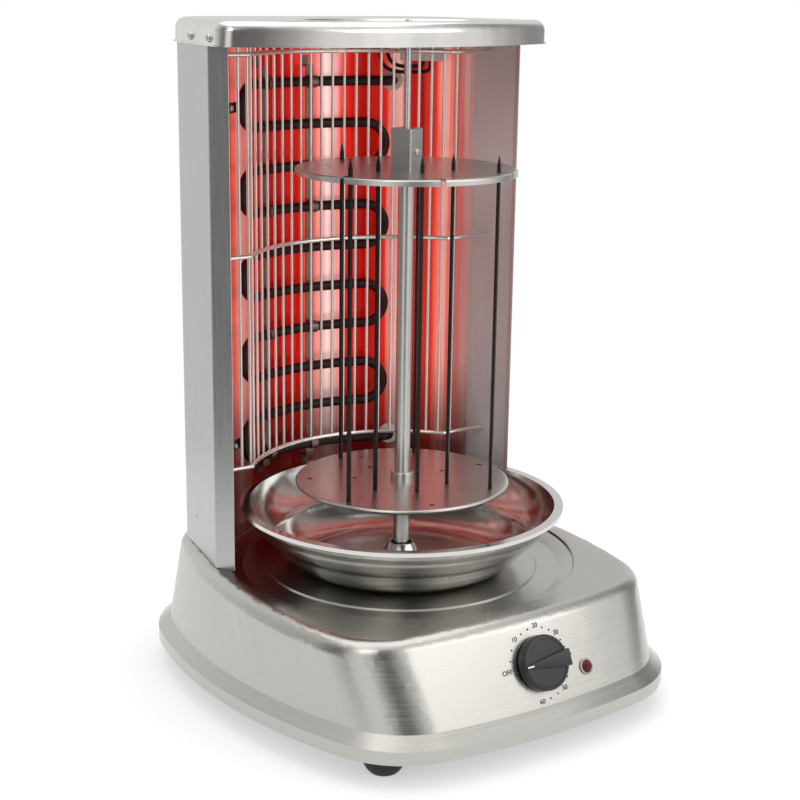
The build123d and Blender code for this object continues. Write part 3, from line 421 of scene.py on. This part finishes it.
# node -> (piece name, material, angle in degrees above which an edge stays sharp)
dressedNodes = {
    "base_shell": ("baseBody", baseSteel, 24),
    "base_plate": ("basePlate", plateSteel, 30),
    "rubber_feet": ("rubberFeet", rubber, 40),
    "foot_screws": ("footScrews", screwSteel, 35),
    "casing": ("casingWrap", casingSteel, 25),
    "reflector": ("foldedReflector", reflectorPaintedGlow, 5),
    "reflector_screws": ("reflectorScrews", screwSteel, 35),
    "top_cover": ("pressedCover", coverSteel, 28),
    "cover_screws": ("coverScrews", screwSteel, 35),
    "pivot_plate": ("pivotPlate", plateSteel, 30),
    "pivot_plate_screws": ("pivotPlateScrews", screwSteel, 35),
    "rod_nut": ("pivotNut", screwSteel, 30),
    "rod_lock_nut": ("pivotLockNut", screwSteel, 30),
    "heating_element": ("serpentineHeater", sheathSteel, 50),
    "element_insulators": ("heaterCollars", ceramic, 35),
    "terminal_pins": ("terminalPins", screwSteel, 35),
    "element_straps": ("heaterStraps", strapSteel, 30),
    "element_clips": ("heaterClips", strapSteel, 30),
    "clip_screws": ("clipScrews", screwSteel, 35),
    "terminal_box": ("terminalBox", ceramic, 30),
    "heater_lead_1": ("innerLead", leadSleeve, 60),
    "heater_lead_2": ("outerLead", leadSleeve, 60),
    "wire_guard": ("wireGuard", wireSteel, 50),
    "drive_shaft": ("driveShaft", screwSteel, 30),
    "drive_pin": ("drivePin", screwSteel, 30),
    "centre_tube": ("centreTube", discSteel, 30),
    "disc_collar": ("discCollar", discSteel, 30),
    "lower_disc": ("lowerDisc", discSteel, 30),
    "upper_disc": ("upperDisc", discSteel, 30),
    "hub_bracket": ("hubBracket", discSteel, 30),
    "hub_screw": ("hubScrew", screwSteel, 35),
    "drip_bowl": ("dripBowl", bowlSteel, 40),
    "timer_shaft": ("timerShaft", screwSteel, 30),
    "timer_unit": ("timerUnit", greyMoulding, 30),
    "lamp_lens": ("lampLens", lensAcrylic, 5),
    "lamp_bezel": ("lampBezel", lampRing, 35),
    "lamp_body": ("lampBody", greyMoulding, 30),
    "spindle_bush": ("spindleBush", plainNylon, 30),
    "gear_motor": ("gearMotor", plateSteel, 30),
    "motor_bracket": ("motorBracket", plateSteel, 30),
    "motor_screws": ("motorScrews", screwSteel, 35),
    "terminal_block": ("terminalBlock", plainNylon, 30),
    "cord_gland": ("cordGland", greyMoulding, 35),
}
for number in range(1, 8):
    dressedNodes[f"skewer_{number}"] = (f"skewer{number}", skewerSteel, 20)

dressing = {
    "mergeWithin": 0.004,  # corners of loose triangles nearer than this are one
    "largeFaces": 80,  # how far the large faces lead the shading, out of 100
    "folds": {"base_shell": (28.0, 36.0)},  # heights of shallow pressed folds that stay crisp
    "foldWithin": 0.05,
}

bodies = frame["record"]["behaviour"]["bodies"]
bodyOf = {node: body for body, members in bodies.items() for node in members}
slotOf = {entry["node"]: entry["material_slot"] for entry in frame["record"]["subparts"]}


def keepFold(mesh, fold):
    for edge in mesh.edges:
        heights = [mesh.vertices[index].co.z / mm for index in edge.vertices]
        if all(abs(height - fold) < dressing["foldWithin"] for height in heights):
            edge.use_edge_sharp = True


def dressNode(node, name, material, sharpAngle):
    pick(nodes[node])
    bpy.ops.object.duplicate()
    piece = bpy.context.view_layer.objects.active
    piece.parent = None
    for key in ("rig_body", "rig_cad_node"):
        if key in piece:
            del piece[key]
    pick(piece)
    # the flat shading that came with the loose triangles goes, or it would tear once they are merged
    if piece.data.has_custom_normals:
        bpy.ops.mesh.customdata_custom_splitnormals_clear()
    bpy.ops.object.mode_set(mode="EDIT")
    bpy.ops.mesh.select_all(action="SELECT")
    bpy.ops.mesh.remove_doubles(threshold=dressing["mergeWithin"] * mm)
    bpy.ops.object.mode_set(mode="OBJECT")
    smoothByAngle(piece, sharpAngle)
    for fold in dressing["folds"].get(node, ()):
        keepFold(piece.data, fold)
    weighted = piece.modifiers.new("weighted", "WEIGHTED_NORMAL")
    weighted.keep_sharp = True
    weighted.weight = dressing["largeFaces"]
    bpy.ops.object.modifier_apply(modifier=weighted.name)
    return finishPiece(piece, name, material, bodyOf[node], slotOf[node], node)


pieces = {}
for node, (name, material, sharpAngle) in dressedNodes.items():
    pieces[node] = dressNode(node, name, material, sharpAngle)

# the casing's faces that look at the spit are the sheet's unbrushed side
innerFacing = 0.2  # least cosine between such a face's normal and the way to the spit
wrap = pieces["casing"].data
wrap.materials.append(millSteel)
for face in wrap.polygons:
    toSpit = Vector((0, spitY)) - face.center.xy
    if face.normal.xy.dot(toSpit) > innerFacing * toSpit.length:
        face.material_index = 1
print("nodes dressed:", len(pieces))

# driver's crosses, cut into the heads of the screws that show; sizes are shares of a head's radius
crossCut = {
    "arm": 1.3,
    "width": 0.27,
    "depth": 0.8,  # half of it is above the head
    "turnFrom": 20,  # in degrees: no two screws were driven home alike
    "turnPerNode": 15,
    "turnPerScrew": 37,
    "nodes": ("cover_screws", "reflector_screws", "hub_screw", "clip_screws", "pivot_plate_screws"),
}


def looseParts(mesh):
    # the points of each separate solid of a mesh
    owner = list(range(len(mesh.vertices)))

    def rootOf(index):
        while owner[index] != index:
            owner[index] = owner[owner[index]]
            index = owner[index]
        return index

    for edge in mesh.edges:
        first, second = (rootOf(index) for index in edge.vertices)
        owner[first] = second
    parts = {}
    for vertex in mesh.vertices:
        parts.setdefault(rootOf(vertex.index), []).append(vertex.co[:])
    return list(parts.values())


def headOf(points):
    # a round part spreads alike two ways, the odd way is its axis, and its wide end is its head
    cloud = np.array(points)
    middle = cloud.mean(axis=0)
    spreads, ways = np.linalg.eigh(np.cov((cloud - middle).T))
    odd = 0 if abs(spreads[2] - spreads[1]) < abs(spreads[1] - spreads[0]) else 2
    axis = ways[:, odd]
    along = (cloud - middle) @ axis
    radii = np.linalg.norm(cloud - middle - np.outer(along, axis), axis=1)
    halfway = (along.max() + along.min()) / 2
    if radii[along > halfway].max() < radii[along < halfway].max():
        axis, along = -axis, -along
    return Vector(middle + axis * along.max()), Vector(axis), radii.max()


def cutCross(node, turn):
    piece = pieces[node]
    heads = [headOf(points) for points in looseParts(piece.data)]
    for quarter in (0, 90):
        cutters = []
        for number, (top, axis, radius) in enumerate(heads):
            deselectAll()
            bpy.ops.mesh.primitive_cube_add(size=1)
            cutter = bpy.context.object
            facing = axis.to_track_quat("Z", "Y").to_matrix().to_4x4()
            degrees = turn + crossCut["turnPerScrew"] * number + quarter
            size = Matrix.Diagonal(
                (crossCut["arm"] * radius, crossCut["width"] * radius, crossCut["depth"] * radius, 1)
            )
            spin = Matrix.Rotation(math.radians(degrees), 4, "Z")
            cutter.matrix_world = Matrix.Translation(top) @ facing @ spin @ size
            settle(cutter)
            cutters.append(cutter)
        combine(piece, joinAll(cutters), "DIFFERENCE")
    sharpAngle = dressedNodes[node][2]
    smoothByAngle(piece, sharpAngle)


for number, node in enumerate(crossCut["nodes"]):
    cutCross(node, crossCut["turnFrom"] + crossCut["turnPerNode"] * number)
print("crosses cut")


def turned(rings, vertices, sharpAngle):
    # a round part built up from its foot, ring by ring: each is a radius and a height in mm
    deselectAll()
    bpy.ops.mesh.primitive_circle_add(
        vertices=vertices, radius=rings[0][0] * mm, fill_type="NGON", location=(0, 0, rings[0][1] * mm)
    )
    part = bpy.context.object
    settle(part)
    bpy.ops.object.mode_set(mode="EDIT")
    bpy.ops.mesh.select_all(action="SELECT")
    for (lastRadius, lastHeight), (radius, height) in zip(rings, rings[1:]):
        rise = (height - lastHeight) * mm
        bpy.ops.mesh.extrude_region_move(TRANSFORM_OT_translate={"value": (0, 0, rise)})
        share = radius / lastRadius
        bpy.ops.transform.resize(value=(share, share, 1), center_override=(0, 0, height * mm))
    bpy.ops.mesh.select_all(action="SELECT")
    bpy.ops.mesh.normals_make_consistent(inside=False)
    bpy.ops.object.mode_set(mode="OBJECT")
    smoothByAngle(part, sharpAngle)
    return part


# pivot rod, threaded all the way; the pitch is drawn coarser than life so that it shows
rodSetup = {"pitch": 2.2, "depth": 0.5, "point": 0.8, "vertices": 20, "sharpAngle": 70}


def makePivotRod():
    plainRod = nodes["top_pivot_rod"]
    corners = [plainRod.matrix_world @ Vector(corner) / mm for corner in plainRod.bound_box]
    crest = (max(corner.x for corner in corners) - min(corner.x for corner in corners)) / 2
    root = crest - rodSetup["depth"]
    foot = min(corner.z for corner in corners)
    top = max(corner.z for corner in corners)
    rings = [(crest - rodSetup["point"], foot), (crest, foot + rodSetup["point"])]
    height = foot + rodSetup["point"] + rodSetup["pitch"] / 2
    while height < top - rodSetup["pitch"]:
        rings += [(root, height), (crest, height + rodSetup["pitch"] / 2)]
        height += rodSetup["pitch"]
    rings.append((root, top))
    rod = turned(rings, rodSetup["vertices"], rodSetup["sharpAngle"])
    rod.matrix_world = Matrix.Translation((0, spitY, 0))
    settle(rod)
    return finishPiece(
        rod, "threadedPivotRod", screwSteel, "pivot_rod", slotOf["top_pivot_rod"], "top_pivot_rod"
    )


makePivotRod()
print("pivot rod threaded")

# the dial lies round the timer's own joint, on a panel that bows away from its middle
dial = {
    "panelBow": 550.0,  # radius of the panel's bow
    "markRadius": 25.6,
    "textHeight": 4.9,
    "textOut": {2: 1.4, 3: 3.7},  # a longer word sits further out
    "weight": 0.09,  # added to each stroke
    "curveSteps": 3,
    "dotRadius": 0.72,
    "dotSides": 14,
    "lift": 0.06,
    "thickness": 0.04,
    # degrees round the joint, from three o'clock and against the clock
    "labels": (("OFF", 181), ("10", 130), ("20", 84), ("30", 42), ("40", 1), ("50", -52), ("60", -102)),
    "dots": (165, 147, 114.7, 99.3, 70, 56, 28.3, 14.7, -16.7, -34.3, -68.7, -85.3),
}
joints = frame["record"]["behaviour"]["joints"]
timerJoint = next(joint for joint in joints if joint["name"] == "timer_turn")
outPanel = -Vector(timerJoint["axis"]).normalized()
upPanel = (Vector((0, 0, 1)) - outPanel * outPanel.z).normalized()
acrossPanel = upPanel.cross(outPanel)
panelTurn = Matrix((acrossPanel, upPanel, outPanel)).transposed().to_4x4()
dialPlane = Matrix.Translation(timerJoint["pos_m"]) @ panelTurn


def onDial(angle, radius):
    # a mark sinks and leans with the bowed panel
    turn = math.radians(angle)
    x, y = radius * math.cos(turn), radius * math.sin(turn)
    bend = -outPanel.y * x / dial["panelBow"]
    sunk = Vector((x, y, dial["lift"] - bend * x / 2)) * mm
    return Matrix.Translation(sunk) @ Matrix.Rotation(bend, 4, "Y")


def printMark(words, angle):
    deselectAll()
    bpy.ops.object.text_add()
    mark = bpy.context.object
    mark.data.body = words
    mark.data.size = dial["textHeight"] * mm
    mark.data.align_x = "CENTER"
    mark.data.align_y = "CENTER"
    mark.data.extrude = dial["thickness"] * mm / 2
    mark.data.offset = dial["weight"] * mm
    mark.data.resolution_u = dial["curveSteps"]
    pick(mark)
    bpy.ops.object.convert(target="MESH")
    mark.matrix_world = dialPlane @ onDial(angle, dial["markRadius"] + dial["textOut"][len(words)])
    settle(mark)
    return mark


def printDot(angle):
    deselectAll()
    bpy.ops.mesh.primitive_cylinder_add(
        vertices=dial["dotSides"], radius=dial["dotRadius"] * mm, depth=dial["thickness"] * mm
    )
    dot = bpy.context.object
    dot.matrix_world = dialPlane @ onDial(angle, dial["markRadius"])
    settle(dot)
    return dot


marks = [printMark(words, angle) for words, angle in dial["labels"]]
marks += [printDot(angle) for angle in dial["dots"]]
finishPiece(joinAll(marks), "dialPrint", dialInk, "housing", "knob_black")
print("dial printed")

# knob: a low drum with a wedge across it, narrow and low at the pointer, wide and high past the far rim
knob = {
    "gap": 0.8,  # between the panel and the drum
    "rings": (
        (19.4, 0.0), (20.0, 0.5), (20.0, 5.8), (19.7, 7.0),
        (18.9, 7.8), (18.3, 8.0), (17.2, 8.0), (16.9, 7.6),
    ),
    "vertices": 72,
    "sharpAngle": 35,
    "gripFrom": -19.3,  # the pointer's end
    "gripTo": 18.4,
    "gripWide": 12.5,
    "gripNarrow": 0.17,  # share of its width left at the pointer
    "gripTop": 13.6,  # the grip's heights are above the panel
    "gripFoot": 7.0,
    "gripDrop": 3.0,  # how much lower it is at the pointer
    "gripEdge": 1.1,
    "gripEdgeSteps": 4,
    "pointer": (5.2, 1.1, 0.6),
    "pointerIn": 0.44,  # from the grip's end
    "pointerProud": 0.12,
    "pointerEdge": 0.15,
    "pointerEdgeSteps": 2,
    "pointerSharpAngle": 30,
}


def soften(part, width, segments):
    edge = part.modifiers.new("edge", "BEVEL")
    edge.width = width * mm
    edge.segments = segments
    edge.limit_method = "ANGLE"
    pick(part)
    bpy.ops.object.modifier_apply(modifier=edge.name)


def makeGrip():
    reach = knob["gripTo"] - knob["gripFrom"]
    tall = knob["gripTop"] - knob["gripFoot"]
    halfway = (knob["gripFoot"] + tall / 2) * mm
    deselectAll()
    bpy.ops.mesh.primitive_cube_add(size=1)
    grip = bpy.context.object
    grip.scale = (reach * mm, knob["gripWide"] * mm, tall * mm)
    grip.location = ((knob["gripFrom"] + reach / 2) * mm, 0, halfway)
    settle(grip)
    for vertex in grip.data.vertices:
        vertex.select = vertex.co.x < 0
    for edge in grip.data.edges:
        edge.select = all(grip.data.vertices[index].select for index in edge.vertices)
    for face in grip.data.polygons:
        face.select = all(grip.data.vertices[index].select for index in face.vertices)
    bpy.ops.object.mode_set(mode="EDIT")
    bpy.ops.transform.resize(value=(1, knob["gripNarrow"], 1), center_override=(0, 0, 0))
    bpy.ops.object.mode_set(mode="OBJECT")
    for vertex in grip.data.vertices:
        if vertex.co.x < 0 and vertex.co.z > halfway:
            vertex.co.z -= knob["gripDrop"] * mm
    soften(grip, knob["gripEdge"], knob["gripEdgeSteps"])
    return grip


def makeKnob():
    rings = [(radius, height + knob["gap"]) for radius, height in knob["rings"]]
    drum = turned(rings, knob["vertices"], knob["sharpAngle"])
    combine(drum, makeGrip(), "UNION")
    smoothByAngle(drum, knob["sharpAngle"])
    drum.matrix_world = dialPlane
    settle(drum)
    return finishPiece(drum, "gripKnob", knobPlastic, "timer", slotOf["timer_knob"], "timer_knob")


def makePointer():
    length, width, thickness = knob["pointer"]
    slope = math.atan2(knob["gripDrop"], knob["gripTo"] - knob["gripFrom"])
    middle = length / 2 + knob["pointerIn"]
    gripHeight = knob["gripTop"] - knob["gripDrop"] + middle * math.tan(slope)
    lift = gripHeight + knob["pointerProud"] - thickness / 2
    deselectAll()
    bpy.ops.mesh.primitive_cube_add(size=1)
    pointer = bpy.context.object
    pointer.matrix_world = (
        dialPlane @ Matrix.Translation(Vector((knob["gripFrom"] + middle, 0, lift)) * mm)
        @ Matrix.Rotation(-slope, 4, "Y") @ Matrix.Diagonal((length * mm, width * mm, thickness * mm, 1))
    )
    settle(pointer)
    soften(pointer, knob["pointerEdge"], knob["pointerEdgeSteps"])
    smoothByAngle(pointer, knob["pointerSharpAngle"])
    return finishPiece(pointer, "knobPointer", pointerInk, "timer", "knob_black")


makeKnob()
makePointer()
print("knob made")

# a pale floor in a white room with grey flags round it, which brushed steel shows as soft upright bands
stageSetup = {
    "floorSize": 1.3,  # in m
    "floor": "C8C8C8",
    "floorRoughness": 0.9,
    "floorLift": 0.46,  # light of its own, so that it meets the white room without an edge
    "daylight": 0.8,
    # how light the room is at each heading, counted from +X towards +Y
    "compass": (
        (-180, 0.20), (-168, 0.30), (-158, 0.95), (-140, 1.00), (-130, 0.50), (-119, 0.12), (-107, 0.20),
        (-97, 0.60), (-86, 1.00), (-34, 1.00), (-20, 0.60), (-6, 0.32), (10, 0.38), (24, 0.90),
        (38, 0.82), (55, 0.74), (76, 0.80), (100, 0.95), (124, 0.76), (145, 0.62), (163, 0.34), (180, 0.20),
    ),
    # upward share of the way a ray looks, where the flags begin and end giving way to plain white
    "overheadFrom": 0.62,
    "overheadTo": 0.92,
}


def mirrorRays(tree):
    # 1 for the rays that see the backdrop as it is: the camera's, and those off metal and through glass
    path = addNode(tree, "ShaderNodeLightPath")
    seen = addNode(
        tree, "ShaderNodeMath", {"operation": "MAXIMUM"},
        {0: path.outputs["Is Camera Ray"], 1: path.outputs["Is Glossy Ray"]},
    )
    both = addNode(
        tree, "ShaderNodeMath", {"operation": "MAXIMUM"},
        {0: seen.outputs["Value"], 1: path.outputs["Is Transmission Ray"]},
    )
    return both.outputs["Value"]


def layFloor():
    deselectAll()
    bpy.ops.mesh.primitive_plane_add(size=stageSetup["floorSize"])
    floor = bpy.context.object
    floor.name = "floor"
    material, tree, shader = newMaterial("paleFloor", stageSetup["floor"], stageSetup["floorRoughness"])
    shader.inputs["Emission Color"].default_value = white
    lift = addNode(
        tree, "ShaderNodeMath", {"operation": "MULTIPLY", 1: stageSetup["floorLift"]}, {0: mirrorRays(tree)}
    )
    tree.links.new(lift.outputs["Value"], shader.inputs["Emission Strength"])
    wearMaterial(floor, material)


def paintRoom():
    world = bpy.data.worlds.new("paleRoom")
    bpy.context.scene.world = world
    world.use_nodes = True
    tree = world.node_tree
    daylight = tree.nodes["Background"]
    daylight.inputs["Color"].default_value = white
    daylight.inputs["Strength"].default_value = stageSetup["daylight"]
    place = addNode(tree, "ShaderNodeTexCoord")
    split = addNode(tree, "ShaderNodeSeparateXYZ", None, {"Vector": place.outputs["Generated"]})
    angle = addNode(
        tree, "ShaderNodeMath", {"operation": "ARCTAN2"}, {0: split.outputs["Y"], 1: split.outputs["X"]}
    )
    turn = addRange(tree, angle.outputs["Value"], -math.pi, math.pi, 0.0, 1.0)
    flags = addRamp(
        tree, turn,
        [((degrees + 180) / 360, (grey, grey, grey, 1)) for degrees, grey in stageSetup["compass"]],
    )
    overhead = addRange(
        tree, split.outputs["Z"], stageSetup["overheadFrom"], stageSetup["overheadTo"], 0.0, 1.0
    )
    walls = addNode(
        tree, "ShaderNodeMix", {"data_type": "RGBA", mixSecond: white}, {0: overhead, mixFirst: flags}
    )
    mirrored = addNode(tree, "ShaderNodeBackground", {"Strength": 1.0}, {"Color": walls.outputs[mixResult]})
    backdrop = addNode(tree, "ShaderNodeBackground", {"Color": white, "Strength": 1.0})
    path = addNode(tree, "ShaderNodeLightPath")
    cameraRay = path.outputs["Is Camera Ray"]
    seen = addNode(
        tree, "ShaderNodeMixShader", None,
        {0: cameraRay, 1: mirrored.outputs["Background"], 2: backdrop.outputs["Background"]},
    )
    room = addNode(
        tree, "ShaderNodeMixShader", None,
        {0: mirrorRays(tree), 1: daylight.outputs["Background"], 2: seen.outputs["Shader"]},
    )
    tree.links.new(room.outputs["Shader"], tree.nodes["World Output"].inputs["Surface"])


# places and sizes in m, power in W
lamps = {
    "keyLamp": {"at": (-1.3, -1.2, 1.45), "to": (0, 0, 0.2), "size": (0.8, 1.0), "power": 4.5},
    "frontLamp": {"at": (0.78, -1.5, 1.0), "to": (0, 0, 0.1), "size": (1.5, 0.9), "power": 5.5},
    "topLamp": {"at": (0.1, 0.3, 1.9), "to": (0, 0, 0.3), "size": (2.0, 2.0), "power": 11},
}


def hangLamp(name, lamp):
    light = bpy.data.lights.new(name, "AREA")
    light.shape = "RECTANGLE"
    light.size, light.size_y = lamp["size"]
    light.energy = lamp["power"]
    holder = bpy.data.objects.new(name, light)
    bpy.context.scene.collection.objects.link(holder)
    holder.location = lamp["at"]
    aim = Vector(lamp["to"]) - Vector(lamp["at"])
    holder.rotation_euler = aim.to_track_quat("-Z", "Y").to_euler()


layFloor()
paintRoom()
for name, lamp in lamps.items():
    hangLamp(name, lamp)
print("stage lit")

bpy.context.scene.view_settings.view_transform = "Standard"
